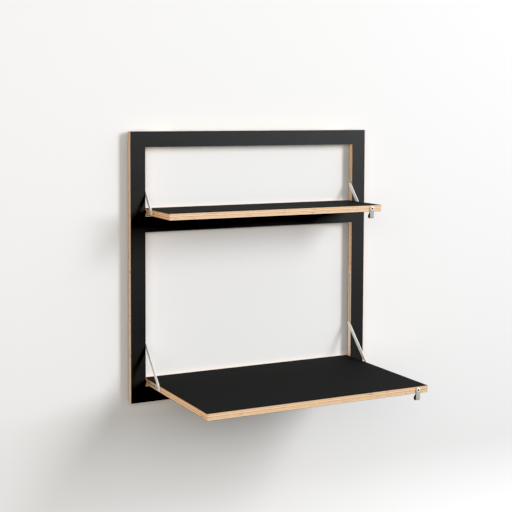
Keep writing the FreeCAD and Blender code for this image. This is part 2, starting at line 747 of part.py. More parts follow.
def make_flap(flap, strip, ends, spots):
    """A flap with its bushes, side strips, studs and pull loop."""
    bushes = [hinge_bush(flap, side, sign) for side, sign in SIDES.items()]
    studs = [stay_stud(flap, side, sign) for side, sign in SIDES.items()]
    screws = side_screws(flap, f"{flap}_{strip}_screws", spots)
    seats = [side_strip(f"{flap}_{strip}", flap, side, sign, ends) for side, sign in SIDES.items()]
    strips = [
        cut(f"{flap}_{strip}_{side}", blank, [screws, stud])
        for side, (blank, room), stud in zip(SIDES, seats, studs)
    ]
    rooms = [room for blank, room in seats]
    fixing, washer = pull_fixing(flap)
    loop = cut(f"{flap}_pull_loop", pull_loop(flap), [fixing])
    middle = f"places.{flap}_hinge"
    lower = f"{middle} - sizes.core_thickness / 2"
    upper = f"{middle} + sizes.core_thickness / 2"
    blank = flap_layer(f"{flap}_blank", flap, lower, "sizes.core_thickness")
    outsides = [outside for bush, outside in bushes]
    core = cut(f"{flap}_core", blank, [*outsides, *rooms, *studs, screws, fixing])
    skin = "sizes.laminate_thickness"
    top = flap_layer(f"{flap}_top_laminate", flap, upper, skin, f"{upper} + {skin}")
    under_start = f"{lower} - {skin}"
    under = flap_layer(f"{flap}_under_laminate", flap, under_start, skin, under_start)
    pieces = [bush for bush, outside in bushes]
    return [core, top, under, *pieces, *studs, *strips, screws, loop, washer, fixing]


def make_stays():
    """The stays with their rivets, and the gliders in the grooves."""
    pieces = []
    for flap in FLAPS:
        for side, sign in SIDES.items():
            pieces.append(stay(flap, side, sign))
            pieces.append(stay_rivet(flap, side, sign))
            pieces.append(glider(flap, side, sign))
    return pieces


def check(pieces):
    """Stop if any object failed, any pocket cut nothing, or any piece has no sound solid."""
    for item in doc.Objects:
        if any(word in item.State for word in ("Invalid", "Error")):
            raise RuntimeError(f"{item.Label} failed")
        if item.TypeId == "PartDesign::Pocket" and item.Shape.Volume >= item.BaseFeature.Shape.Volume:
            raise RuntimeError(f"{item.Label} cuts nothing")
    for piece in pieces:
        if piece.Shape.isNull() or not piece.Shape.isValid() or not piece.Shape.Solids:
            raise RuntimeError(f"{piece.Label} has no sound solid")


make_sheet("sizes", SIZES)
make_sheet("places", PLACES)
doc.recompute()

desk_rear = "places.hinge_y - sizes.bracket_start"
desk_spots = (desk_rear, f"(({desk_rear}) + places.desk_stud_y) / 2")
shelf_rear = "places.shelf_stud_y + sizes.anchor_half_length - sizes.bracket_width / 2"
shelf_far = "places.shelf_stud_y - sizes.anchor_half_length + sizes.bracket_width / 2"

parts = make_frame()
parts += make_flap("desk", "bracket", (desk_rear, "places.desk_stud_y"), desk_spots)
parts += make_flap("shelf", "anchor", (shelf_rear, shelf_far), (shelf_rear, shelf_far))
parts += make_stays()
doc.recompute()
check(parts)

os.makedirs("parts", exist_ok=True)
for part in parts:
    part.Shape.exportStep(f"parts/{part.Label}.step")
    box = part.Shape.BoundBox
    print(f"{part.Label}: {len(part.Shape.Solids)} solids, {part.Shape.Volume:.0f} mm3, {box}")
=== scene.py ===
import json
import math

import bmesh
import bpy
import numpy as np
from mathutils import Matrix, Vector


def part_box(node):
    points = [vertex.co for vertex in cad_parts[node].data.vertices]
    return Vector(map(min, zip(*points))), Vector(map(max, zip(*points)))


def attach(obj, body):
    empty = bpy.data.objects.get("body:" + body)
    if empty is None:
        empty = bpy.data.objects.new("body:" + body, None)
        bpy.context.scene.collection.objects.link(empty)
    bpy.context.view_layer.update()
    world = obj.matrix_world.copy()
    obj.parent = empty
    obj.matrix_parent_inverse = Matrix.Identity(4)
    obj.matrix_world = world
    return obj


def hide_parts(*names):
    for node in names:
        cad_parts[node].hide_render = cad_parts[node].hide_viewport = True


# Fold down wall desk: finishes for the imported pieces, the leather loops and small turned pieces that need
# a finer surface than their solids, a pale backdrop, soft light and the camera.
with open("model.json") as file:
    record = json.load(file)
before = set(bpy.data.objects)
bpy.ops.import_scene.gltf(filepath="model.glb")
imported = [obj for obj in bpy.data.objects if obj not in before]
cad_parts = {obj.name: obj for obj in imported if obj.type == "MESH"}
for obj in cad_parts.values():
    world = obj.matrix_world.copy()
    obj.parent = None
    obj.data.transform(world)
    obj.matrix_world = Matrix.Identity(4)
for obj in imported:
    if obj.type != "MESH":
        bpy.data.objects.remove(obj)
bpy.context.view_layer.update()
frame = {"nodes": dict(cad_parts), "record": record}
nodes = frame["nodes"]

MM = 0.001
FLAPS = ("desk", "shelf")
SIDES = {"left": -1, "right": 1}


# Shader nodes
def linear(code):
    """An sRGB hex colour as linear red, green, blue and alpha."""
    srgb = np.array([int(code[i : i + 2], 16) for i in (1, 3, 5)]) / 255
    rgb = np.where(srgb <= 0.04045, srgb / 12.92, ((srgb + 0.055) / 1.055) ** 2.4)
    return (*rgb.tolist(), 1.0)


def per_mm(size):
    """The texture scale, per metre, that makes a feature about this many millimetres across."""
    return 1 / (size * MM)


def add(tree, kind, sockets=None, into=None, **settings):
    """One node with its settings. A socket given another node's output is linked, any other value is set.
    The node's own first output is linked into a socket where one is given."""
    node = tree.nodes.new(kind)
    for name, value in settings.items():
        setattr(node, name, value)
    for name, value in (sockets or {}).items():
        if isinstance(value, bpy.types.NodeSocket):
            tree.links.new(value, node.inputs[name])
        else:
            node.inputs[name].default_value = value
    if into is not None:
        tree.links.new(node.outputs[0], into)
    return node


def start_material(name, **sockets):
    """A material, its tree, its shader's sockets with the even values set on them, and its coordinates."""
    material = bpy.data.materials.new(name)
    material.use_nodes = True
    tree = material.node_tree
    shader = tree.nodes["Principled BSDF"].inputs
    for socket, value in sockets.items():
        shader[socket.replace("_", " ")].default_value = value
    return material, tree, shader, add(tree, "ShaderNodeTexCoord").outputs


def drawn_noise(tree, place, lengths, detail):
    """Noise whose features have given lengths, in millimetres, along three axes."""
    scales = tuple(per_mm(length) for length in lengths)
    drawn = add(tree, "ShaderNodeMapping", {"Vector": place, "Scale": scales})
    sockets = {"Vector": drawn.outputs[0], "Scale": 1.0, "Detail": detail}
    return add(tree, "ShaderNodeTexNoise", sockets).outputs["Fac"]


# Where nearly all values of a noise lie
NOISE_REACH = {"From Min": 0.3, "From Max": 0.7}


def two_tone(tree, shader, pattern, tones, rough):
    """One pattern mixes two tones for the colour and spreads the roughness over a range."""
    mixed = {"Fac": pattern, "Color1": linear(tones[0]), "Color2": linear(tones[1])}
    add(tree, "ShaderNodeMixRGB", mixed, into=shader["Base Color"])
    spread = {"Value": pattern, **NOISE_REACH, "To Min": rough[0], "To Max": rough[1]}
    add(tree, "ShaderNodeMapRange", spread, into=shader["Roughness"])


# Finishes
# Plywood, millimetres: a ply is about 1.4 mm thick, drawn at 2.6 mm so that it shows, and waves slowly
PLY = 2.6
PLY_WAVE = 45
# Share of a ply's thickness by which it waves
PLY_SWAY = 0.2
# Marks on a ply, millimetres along it and across it. Vessel lines are some 0.1 mm wide; they are drawn
# 1.2 mm wide so that they show.
VESSEL_LINE = (38, 1.2)
END_SPECK = (9, 1.6)
CORE_GAP = (18, 3)
# Dark brown of the core gaps: painted shade inside the open gaps
CORE_GAP_SHADE_TONE = "#5A341E"
# Plywood edges: pale and brown of the long grain, then of the end grain, as lit and shaded copies of one
# wood. The sides are browner; the fronts are paler as painted sheen of the key light, and the frame's sides
# duller than those of the flaps as painted shade from the wall beside the frame.
FRONT_TONES_PAINTED_SHEEN = (("#F0D8BC", "#DAB792"), ("#E8C69F", "#BB8958"))
FLAP_SIDE_TONES_PAINTED_LIGHT = (("#FFE6BE", "#F4C692"), ("#F0B780", "#B06A30"))
FRAME_SIDE_TONES_PAINTED_SHADE = (("#FDE2C0", "#E6BC92"), ("#E8B484", "#A0642F"))


def ply_number(tree, place, node, axis):
    """The number of the ply at a place, counted along one axis of a node, with a slow wave."""
    low, high = (corner["XYZ".index(axis)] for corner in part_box(node))
    plies = round((high - low) / (PLY * MM))
    levels = add(tree, "ShaderNodeSeparateXYZ", {"Vector": place})
    reach = {"From Min": low, "From Max": high, "To Min": 0.0, "To Max": plies}
    depth = add(tree, "ShaderNodeMapRange", {"Value": levels.outputs[axis], **reach}, clamp=False)
    wave = add(tree, "ShaderNodeTexNoise", {"Vector": place, "Scale": per_mm(PLY_WAVE), "Detail": 1.0})
    sway = {0: wave.outputs["Fac"], 1: PLY_SWAY, 2: depth.outputs[0]}
    swayed = add(tree, "ShaderNodeMath", sway, operation="MULTIPLY_ADD")
    level = add(tree, "ShaderNodeMath", {0: swayed.outputs[0], 1: PLY_SWAY / 2}, operation="SUBTRACT")
    return add(tree, "ShaderNodeMath", {0: level.outputs[0]}, operation="FLOOR").outputs[0]


def birch_plywood(name, node, axis, painted_side_tones):
    """Plies stacked along one axis of a node, with end grain wherever a ply's grain meets the face. The
    sides have tones of their own: a copy of the wood with painted shade, beside fronts with painted sheen."""
    # Birch plywood, sawn, sanded and oiled: pale plies with long grain along the edge, browner end grain
    # between them, a few short gaps in the inner plies painted dark as the shade inside them and a dull
    # satin surface.
    material, tree, shader, coordinates = start_material(name, Roughness=0.42, IOR=1.5)
    place = coordinates["Object"]
    ply = ply_number(tree, place, node, axis)
    tone = add(tree, "ShaderNodeTexWhiteNoise", {"W": ply}, noise_dimensions="1D").outputs["Value"]
    inner = add(tree, "ShaderNodeMath", {0: ply, 1: 2.0}, operation="FLOORED_MODULO").outputs[0]
    # Faces that look along X take the side tones: painted shade there, painted sheen on the fronts
    facing = add(tree, "ShaderNodeSeparateXYZ", {"Vector": coordinates["Normal"]})
    sideways = add(tree, "ShaderNodeMath", {0: facing.outputs["X"]}, operation="ABSOLUTE").outputs[0]
    side = add(tree, "ShaderNodeMath", {0: sideways, 1: 0.5}, operation="GREATER_THAN").outputs[0]
    apart = add(tree, "ShaderNodeMath", {0: inner, 1: side}, operation="SUBTRACT")
    end_grain = add(tree, "ShaderNodeMath", {0: apart.outputs[0]}, operation="ABSOLUTE").outputs[0]

    def marks(size, detail):
        """Noise drawn out along the plies."""
        along, across = size
        lengths = [across if key == axis else along for key in "XYZ"]
        return drawn_noise(tree, place, lengths, detail)

    def grain(pattern, tones):
        """Between two tones, half by the ply's own shade and half by the marks on it."""
        lines = add(tree, "ShaderNodeMapRange", {"Value": pattern, **NOISE_REACH, "To Max": 0.5})
        shade = {0: tone, 1: 0.5, 2: lines.outputs[0]}
        mix = add(tree, "ShaderNodeMath", shade, operation="MULTIPLY_ADD").outputs[0]
        sockets = {"Fac": mix, "Color1": linear(tones[0]), "Color2": linear(tones[1])}
        return add(tree, "ShaderNodeMixRGB", sockets).outputs[0]

    vessels, specks, gaps = marks(VESSEL_LINE, 3.0), marks(END_SPECK, 2.0), marks(CORE_GAP, 1.0)

    def plies_in(tones):
        """Long grain and end grain, ply by ply."""
        long_grain, cut_grain = tones
        sockets = {"Color1": grain(vessels, long_grain), "Color2": grain(specks, cut_grain)}
        return add(tree, "ShaderNodeMixRGB", {"Fac": end_grain, **sockets}).outputs[0]

    # Fronts and sides of the same wood, lit and shaded copies mixed by which way a face looks
    sockets = {"Fac": side, "Color1": plies_in(FRONT_TONES_PAINTED_SHEEN), "Color2": plies_in(painted_side_tones)}
    wood = add(tree, "ShaderNodeMixRGB", sockets).outputs[0]
    # Short gaps in the inner plies, painted dark as the shade inside them
    reach = {"From Min": 0.65, "From Max": 0.71, "To Min": 0.0, "To Max": 0.75}
    gap_shade = add(tree, "ShaderNodeMapRange", {"Value": gaps, **reach}).outputs[0]
    gap_shade_mask = add(tree, "ShaderNodeMath", {0: gap_shade, 1: inner}, operation="MULTIPLY").outputs[0]
    sockets = {"Fac": gap_shade_mask, "Color1": wood, "Color2": linear(CORE_GAP_SHADE_TONE)}
    add(tree, "ShaderNodeMixRGB", sockets, into=shader["Base Color"])
    relief = {"Strength": 0.15, "Distance": 0.3 * MM, "Height": vessels}
    add(tree, "ShaderNodeBump", relief, into=shader["Normal"])
    return material


# Laminate, millimetres: hand marks, and a pressed grain of about 0.3 mm, drawn 1.5 mm wide so that it shows
HAND_MARK = 90
PRESSED_GRAIN = 1.5


def black_laminate(name, tones, rough, sheen):
    """Near black with a given sheen, slow changes of gloss over a range and a fine even grain."""
    # High-pressure laminate, pressed matte: deep black, a broad soft sheen and faint hand marks.
    material, tree, shader, coordinates = start_material(name, IOR=1.5, Specular_IOR_Level=sheen)
    place = coordinates["Object"]
    sockets = {"Vector": place, "Scale": per_mm(HAND_MARK), "Detail": 3.0}
    marks = add(tree, "ShaderNodeTexNoise", sockets)
    two_tone(tree, shader, marks.outputs["Fac"], tones, rough)
    sockets = {"Vector": place, "Scale": per_mm(PRESSED_GRAIN), "Detail": 2.0}
    grain = add(tree, "ShaderNodeTexNoise", sockets)
    relief = {"Strength": 0.12, "Distance": 0.05 * MM, "Height": grain.outputs["Fac"]}
    add(tree, "ShaderNodeBump", relief, into=shader["Normal"])
    return material


# Brushed streaks, millimetres along X, Y and Z: upright on a bar, even all round on a washer
BAR_STREAK = (1, 1, 70)
WASHER_STREAK = (2, 2, 2)


def brushed_metal(name, tones, streak, turn=0.0):
    """Streaks of given lengths along three axes, turned about X to follow a leaning bar."""
    # Satin nickel on blasted and brushed steel: pale and soft, with fine streaks and no clear reflections.
    # Its pits scatter light so widely that most of it is drawn as a pigment.
    material, tree, shader, coordinates = start_material(name, Metallic=0.3)
    turned = {"Vector": coordinates["Object"], "Rotation": (turn, 0.0, 0.0)}
    follow = add(tree, "ShaderNodeMapping", turned).outputs[0]
    streaks = drawn_noise(tree, follow, streak, 3.0)
    two_tone(tree, shader, streaks, tones, (0.55, 0.65))
    relief = {"Strength": 0.1, "Distance": 0.02 * MM, "Height": streaks}
    add(tree, "ShaderNodeBump", relief, into=shader["Normal"])
    return material


# Leather, millimetres: darker and paler streaks along the strap, and pores some 0.2 mm apart, drawn 0.9 mm
# apart so that they show
STRAP_STREAK = (1.3, 14, 14)
PORE = 0.9
GRAIN_SIDE_TONES = ("#BEBAB6", "#97938F")
# The flesh side's dark brown is painted shade inside the loop
FLESH_SIDE_SHADE_TONES = ("#3B2E29", "#57463F")


def grey_leather(name):
    """A pale grain side with darker and paler streaks along the strap and a flesh side painted dark as the
    shade inside the loop, told apart by the strap's flesh-side attribute."""
    # Strap leather, dyed grey on the grain side and left raw inside: soft and dull, with a brown nap on the
    # flesh side that is painted dark as the shade inside the loop.
    material, tree, shader, coordinates = start_material(name, IOR=1.45, Specular_IOR_Level=0.3)
    place = coordinates["Object"]
    # The inside half of the strap: painted shade of the loop's inside, and a rougher nap
    flesh_shade = add(tree, "ShaderNodeAttribute", attribute_name="flesh_side_shade").outputs["Fac"]
    strap_streaks = drawn_noise(tree, place, STRAP_STREAK, 3.0)
    pores = add(tree, "ShaderNodeTexVoronoi", {"Vector": place, "Scale": per_mm(PORE)}).outputs["Distance"]
    sides = []
    for pattern, tones in ((strap_streaks, GRAIN_SIDE_TONES), (pores, FLESH_SIDE_SHADE_TONES)):
        sockets = {"Fac": pattern, "Color1": linear(tones[0]), "Color2": linear(tones[1])}
        sides.append(add(tree, "ShaderNodeMixRGB", sockets).outputs[0])
    sockets = {"Fac": flesh_shade, "Color1": sides[0], "Color2": sides[1]}
    add(tree, "ShaderNodeMixRGB", sockets, into=shader["Base Color"])
    rough = {"Value": flesh_shade, "To Min": 0.55, "To Max": 0.95}
    add(tree, "ShaderNodeMapRange", rough, into=shader["Roughness"])
    relief = {"Strength": 0.25, "Distance": 0.08 * MM, "Height": pores}
    add(tree, "ShaderNodeBump", relief, into=shader["Normal"])
    return material


def mottled(name, tones, size, rough, metallic=0.0, ior=1.5):
    """Two close colours and a range of roughness, mixed by one noise of a given size in millimetres."""
    material, tree, shader, coordinates = start_material(name, Metallic=metallic, IOR=ior)
    sockets = {"Vector": coordinates["Object"], "Scale": per_mm(size), "Detail": 3.0}
    spots = add(tree, "ShaderNodeTexNoise", sockets).outputs["Fac"]
    two_tone(tree, shader, spots, tones, rough)
    relief = {"Strength": 0.2, "Distance": 0.05 * MM, "Height": spots}
    add(tree, "ShaderNodeBump", relief, into=shader["Normal"])
    return material


# Flat bar of the stays, millimetres
STAY_WIDTH = 12


def lean_of(flap):
    """The angle by which a stay leans back from the upright, from its box and its width."""
    low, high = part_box(f"{flap}_stay_left")
    return math.atan2(high.y - low.y - STAY_WIDTH * MM, high.z - low.z - STAY_WIDTH * MM)


# Satin nickel: on the stays, and warmer beside the wood on the rails and washers, where the warmth is
# painted warm light thrown back from the wood
STAY_TONES = ("#FAF8F4", "#E6E3DE")
RAIL_TONES_PAINTED_WARM_LIGHT = ("#EFE3D5", "#DACDBE")
WASHER_TONES_PAINTED_WARM_LIGHT = ("#F3E9DF", "#E2D5C9")

# By the words in a node's name, then by material slot
FINISHES = {
    # The frame and its blocks take duller side tones than the flaps: painted shade from the wall beside
    # them
    "frame_core": birch_plywood("frame_birch_plywood", "frame_core", "Y", FRAME_SIDE_TONES_PAINTED_SHADE),
    "desk_core": birch_plywood("desk_birch_plywood", "desk_core", "Z", FLAP_SIDE_TONES_PAINTED_LIGHT),
    "shelf_core": birch_plywood("shelf_birch_plywood", "shelf_core", "Z", FLAP_SIDE_TONES_PAINTED_LIGHT),
    "hanger_block": birch_plywood("block_birch_plywood", "hanger_block_left", "Y", FRAME_SIDE_TONES_PAINTED_SHADE),
    # The sheet that is worked on is pressed against a duller plate; its tone, lighter than the fronts', is
    # painted sheen that stands in for the gloss turned down on it
    "top_laminate": black_laminate("dull_black_laminate_painted_sheen", ("#2A2B2B", "#2E2F2F"), (0.80, 0.86), 0.025),
    # The washers' and rails' warmer tones are painted light from the wood beside them
    "pull_washer": brushed_metal("washer_satin_nickel", WASHER_TONES_PAINTED_WARM_LIGHT, WASHER_STREAK),
    "slide_rail": brushed_metal("rail_satin_nickel", RAIL_TONES_PAINTED_WARM_LIGHT, BAR_STREAK),
    "desk_stay": brushed_metal("desk_stay_satin_nickel", STAY_TONES, BAR_STREAK, lean_of("desk")),
    "shelf_stay": brushed_metal("shelf_stay_satin_nickel", STAY_TONES, BAR_STREAK, lean_of("shelf")),
    "black_laminate": black_laminate("matte_black_laminate", ("#232323", "#272727"), (0.45, 0.49), 0.30),
    "grey_leather": grey_leather("grey_strap_leather"),
    # Bright zinc plate on turned or punched steel: cool grey, faintly mottled
    "zinc_steel": mottled("bright_zinc_steel", ("#D3D5D7", "#B9BBBD"), 5, (0.4, 0.5), metallic=0.6),
    # Black oxide on steel: blue-black, slightly oily sheen
    "black_steel": mottled("black_oxide_steel", ("#2A2A2C", "#1D1D1F"), 3, (0.38, 0.5), metallic=1.0),
    # Moulded nylon: black, smooth, with a soft satin skin
    "black_nylon": mottled("moulded_black_nylon", ("#17181A", "#1F2022"), 2, (0.4, 0.5), ior=1.53),
    # Moulded rubber: grey-black and dull
    "buffer_rubber": mottled("moulded_black_rubber", ("#1B1B1B", "#262625"), 2.5, (0.7, 0.85), ior=1.52),
}


def finish_of(node, slot):
    """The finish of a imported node: by its own name where that has one, otherwise by its material slot."""
    named = [key for key in FINISHES if key in node]
    return FINISHES[named[0] if named else slot]


def dress_packed_nodes():
    """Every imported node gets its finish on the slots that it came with."""
    for row in frame["record"]["subparts"]:
        for slot in nodes[row["node"]].material_slots:
            slot.material = finish_of(row["node"], row["material_slot"])


# Surfaces
# Meshes: points nearer than this are one, metres, and edges sharper than this stay sharp, degrees
MERGE_DISTANCE = 1e-7
SHARP_EDGE = 40


def skin(grids):
    """Quads over grids of points: rows follow the first parameter, columns the second, where they close."""
    points, quads, start = [], [], 0
    for grid in grids:
        rows, columns = grid.shape[:2]
        index = start + np.arange(rows * columns).reshape(rows, columns)
        beside = np.roll(index, -1, axis=1)
        quads.append(np.stack([index[:-1], beside[:-1], beside[1:], index[1:]], axis=-1).reshape(-1, 4))
        points.append(grid.reshape(-1, 3))
        start += rows * columns
    return np.concatenate(points), np.concatenate(quads)


def new_piece(name, grids, body, slot, replaced, flesh_side_shade=None):
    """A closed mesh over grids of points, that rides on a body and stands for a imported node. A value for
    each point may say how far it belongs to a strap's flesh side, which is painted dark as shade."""
    points, quads = skin(grids)
    mesh = bpy.data.meshes.new(name)
    mesh.from_pydata(points.tolist(), [], quads.tolist())
    if flesh_side_shade is not None:
        mesh.attributes.new("flesh_side_shade", "FLOAT", "POINT").data.foreach_set("value", flesh_side_shade.ravel())
    work = bmesh.new()
    work.from_mesh(mesh)
    bmesh.ops.remove_doubles(work, verts=work.verts, dist=MERGE_DISTANCE)
    bmesh.ops.recalc_face_normals(work, faces=work.faces)
    work.to_mesh(mesh)
    work.free()
    mesh.shade_smooth()
    mesh.set_sharp_from_angle(angle=math.radians(SHARP_EDGE))
    mesh.materials.append(finish_of(replaced, slot))
    piece = bpy.data.objects.new(name, mesh)
    bpy.context.scene.collection.objects.link(piece)
    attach(piece, body)
    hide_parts(replaced)


# Screws, millimetres: shank and head diameters, head height, length, thread pitch and drive recess
SCREWS = {
    "pull": {"shank": 4, "head": 6, "countersink": 1.2, "length": 30, "pitch": 1.8, "drive": "hex"},
    "side": {"shank": 3, "head": 6, "countersink": 1.5, "length": 20, "pitch": 1.4, "drive": "cross"},
    "hanger": {"shank": 4, "head": 7.5, "countersink": 2, "length": 20, "pitch": 1.8, "drive": "cross"},
    "buffer": {"shank": 4, "head": 8, "countersink": 3, "length": 18, "pitch": 1.8, "drive": "cross"},
}
# Points round a screw
SCREW_COLUMNS = 36
# Drive recess, as shares of the head's radius, and its depth as a share of the head's height
HEX_APOTHEM = 0.36
CROSS_REACH = 0.58
CROSS_HALF_WIDTH = 0.13
RECESS_DEPTH = 0.75
# The deepest recess and the softened edges of recess and head, millimetres
RECESS_LIMIT = 1.6
RECESS_EDGE = 0.12
HEAD_EDGE = 0.06
# Shares of the drive's outline at the floor and the mouth of the recess, and of the head that is flat
RECESS_FLOOR = 0.7
RECESS_MOUTH = 1.06
HEAD_FLAT = 0.97
# Thread: millimetres from the head, rows in a turn, steepness of the ridge
THREAD_START = 0.6
THREAD_ROWS = 7
THREAD_SLOPE = 3.2
# Shares of the shank's radius between the ridges, at the start of the point and at its tip
THREAD_ROOT = 0.74
POINT_START = 0.7
POINT_TIP = 0.12


def hexagon(angle, apothem):
    """A hexagon's radius at an angle: its apothem over the cosine of the angle from the nearest flat."""
    sector = math.pi / 3
    return apothem / np.cos((angle + sector / 2) % sector - sector / 2)


def cross(angle, reach, half_width):
    """The radius of a plus sign at an angle: the nearer of an arm's end and an arm's side."""
    sector = math.pi / 2
    folded = np.abs((angle + sector / 2) % sector - sector / 2)
    return np.minimum(reach / np.cos(folded), half_width / np.maximum(np.sin(folded), 1e-6))


def screw_surface(head_centre, inward, kind):
    """Radius as a function of distance along a level axis and of angle: a countersunk head with a drive
    recess, then a shank whose thread is a ridge that rises where distance over pitch and angle over a turn
    agree."""
    size = SCREWS[kind]
    shank, head, sink, length = size["shank"] / 2, size["head"] / 2, size["countersink"], size["length"]
    angle = np.linspace(0, 2 * math.pi, SCREW_COLUMNS, endpoint=False)
    around = np.ones_like(angle)
    if size["drive"] == "hex":
        drive = hexagon(angle, HEX_APOTHEM * head)
    else:
        drive = cross(angle, CROSS_REACH * head, CROSS_HALF_WIDTH * head)
    recess = min(RECESS_DEPTH * sink, RECESS_LIMIT)
    point = length - 2 * shank
    rings = [(0 * around, recess), (RECESS_FLOOR * drive, recess), (drive, RECESS_EDGE)]
    rings += [(RECESS_MOUTH * drive, 0), (HEAD_FLAT * head * around, 0)]
    rings += [(head * around, HEAD_EDGE), (shank * around, sink)]
    steps = np.arange(sink + THREAD_START, point, size["pitch"] / THREAD_ROWS)
    turns = steps[:, None] / size["pitch"] - angle[None, :] / (2 * math.pi)
    ridge = np.clip(1 - THREAD_SLOPE * np.abs(turns % 1 - 0.5), 0, 1)
    rings += zip(shank * (THREAD_ROOT + (1 - THREAD_ROOT) * ridge), steps)
    rings += [(POINT_START * shank * around, point), (POINT_TIP * shank * around, length)]
    rings += [(0 * around, length)]
    radius = np.array([ring for ring, step in rings]) * MM
    along = np.array([step for ring, step in rings])[:, None, None] * MM
    axis = np.array(inward, float)
    across = np.cross(axis, (0, 0, 1))
    up = np.cross(axis, across)
    spokes = np.cos(angle)[:, None] * across + np.sin(angle)[:, None] * up
    return np.array(head_centre) + along * axis + radius[:, :, None] * spokes


# Cup washer, millimetres: diameter, height of the rim and of the lip, width of the lip and softened edges
WASHER_DIAMETER = 14
WASHER_RIM = 0.4
WASHER_HEIGHT = 1.5
WASHER_LIP = 0.8
WASHER_EDGE = 0.1
LIP_EDGE = 0.15
LIP_DROP = 0.08
# Points round the washer and rows on its slope
WASHER_COLUMNS = 64
WASHER_ROWS = 12


def cup_washer(centre, under):
    """A turned ring: height over radius is a flat foot, a rim, a quarter sine up to the lip and a straight
    countersink."""
    head, shank = SCREWS["pull"]["head"] / 2, SCREWS["pull"]["shank"] / 2
    outer, lip, top = WASHER_DIAMETER / 2, head + WASHER_LIP, WASHER_HEIGHT
    rise = np.linspace(0, 1, WASHER_ROWS)
    crown = WASHER_RIM + (top - WASHER_RIM) * np.sin(rise * math.pi / 2)
    foot = [(shank, 0), (outer - WASHER_EDGE, 0), (outer, WASHER_EDGE)]
    slope = np.stack([outer + (lip - outer) * rise, crown], axis=1)
    mouth = [(head + LIP_EDGE, top), (head, top - LIP_DROP)]
    sink = [(shank, top - SCREWS["pull"]["countersink"]), (shank, 0)]
    profile = np.concatenate([foot, slope, mouth, sink]) * MM
    radius, height = profile[:, :1], profile[:, 1:]
    angle = np.linspace(0, 2 * math.pi, WASHER_COLUMNS, endpoint=False)
    x = centre.x + radius * np.cos(angle)
    z = centre.z + radius * np.sin(angle)
    return np.stack([x, np.broadcast_to(under - height, x.shape), z], axis=-1)


# Pull strap, millimetres: its thickness and the spacing of its rows
STRAP = 1.2
STRAP_STEP = 0.25
# Rows over which a corner of the strap is rounded, points round its section and power of its superellipse
STRAP_CORNER = 9
STRAP_COLUMNS = 28
STRAP_POWER = 0.35
# Share of its thickness that the strap fills, so that its two leaves stay apart
STRAP_FILL = 0.98
# Share of the half circle at an end that the strap's rows reach, so that their points stay apart
STRAP_TIP = 0.998


def smoothed(path, window):
    """A path whose corners are rounded by a moving average, with both end stretches kept."""
    kernel = np.ones(window) / window
    ends = window // 2
    padded = np.concatenate([path[:1].repeat(ends, 0), path, path[-1:].repeat(ends, 0)])
    round_path = np.stack([np.convolve(padded[:, i], kernel, "valid") for i in (0, 1)], axis=1)
    round_path[: window + 1] = path[: window + 1]
    round_path[-window - 1 :] = path[-window - 1 :]
    return round_path


def loop_path(flap):
    """The strap's middle line in the upright plane: down the front edge, along the tangent to the bow,
    round the bow and up the outside of the first leaf, at even steps."""
    low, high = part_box(f"{flap}_pull_loop")
    thick, step = STRAP * MM, STRAP_STEP * MM
    edge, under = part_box(f"{flap}_core")[0].y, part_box(f"{flap}_under_laminate")[0].z
    outer = (high.y - low.y) / 2
    bow = np.array([low.y + outer, low.z + outer])
    radius = outer - thick / 2
    corner = np.array([edge - thick / 2, under])
    away = corner - bow
    turn = math.atan2(away[1], away[0]) - math.acos(radius / np.linalg.norm(away))

    def run(start, end):
        """Points on a straight stretch, without its end."""
        count = max(2, round(np.linalg.norm(np.subtract(end, start)) / step))
        return np.linspace(start, end, count, endpoint=False)

    angles = np.arange(turn, -math.pi, -step / radius)
    arc = bow + radius * np.stack([np.cos(angles), np.sin(angles)], axis=1)
    front = low.y + thick / 2
    down = run((edge - thick / 2, high.z), corner)
    slant = run(corner, arc[0])
    up = run((front, bow[1]), (front, high.z + step))
    return smoothed(np.concatenate([down, slant, arc, up]), STRAP_CORNER)


def pull_strap(flap):
    """A flat strap carried along the loop's path. Its section is a superellipse; its half width narrows to
    a half circle about the screw at both ends, where its rows close on their middle. The flesh side is the
    half of the section that faces the inside of the loop, and it carries the loop's painted shade."""
    low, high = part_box(f"{flap}_pull_loop")
    path = loop_path(flap)
    half = (high.x - low.x) / 2
    above = np.clip(path[:, 1] - (high.z - half), 0, STRAP_TIP * half)
    width = np.sqrt(half**2 - above**2)
    along = np.gradient(path, axis=0)
    along /= np.linalg.norm(along, axis=1, keepdims=True)
    normal = np.stack([-along[:, 1], along[:, 0]], axis=1)
    angle = np.linspace(0, 2 * math.pi, STRAP_COLUMNS, endpoint=False)
    wide, deep = (np.sign(wave) * np.abs(wave) ** STRAP_POWER for wave in (np.cos(angle), np.sin(angle)))
    thick = deep * STRAP_FILL / 2 * STRAP * MM
    x = (low.x + high.x) / 2 + width[:, None] * wide
    y = path[:, :1] + normal[:, :1] * thick
    z = path[:, 1:] + normal[:, 1:] * thick
    rows = np.stack([x, y, z], axis=-1)
    first, last = (np.broadcast_to(row.mean(axis=0), rows[:1].shape) for row in (rows[0], rows[-1]))
    closed = np.concatenate([first, rows, last])
    return closed, np.broadcast_to((1 - np.sign(deep)) / 2, closed.shape[:2])


def make_pulls():
    """The folded strap, cup washer and screw on the front edge of each flap."""
    for flap in FLAPS:
        body = f"{flap}_flap"
        low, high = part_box(f"{flap}_pull_washer")
        centre = (low + high) / 2
        strap, flesh_side_shade = pull_strap(flap)
        new_piece(f"{flap}_pull_strap", [strap], body, "grey_leather", f"{flap}_pull_loop", flesh_side_shade)
        ring = cup_washer(centre, high.y)
        new_piece(f"{flap}_cup_washer", [ring], body, "nickel_steel", f"{flap}_pull_washer")
        screw = screw_surface((centre.x, low.y, centre.z), (0, 1, 0), "pull")
        new_piece(f"{flap}_socket_screw", [screw], body, "black_steel", f"{flap}_pull_screw")


# Places of screws, millimetres
HANGER_SCREW_SPACING = 40
BUFFER_RECESS = 4
BRACKET_END = 4


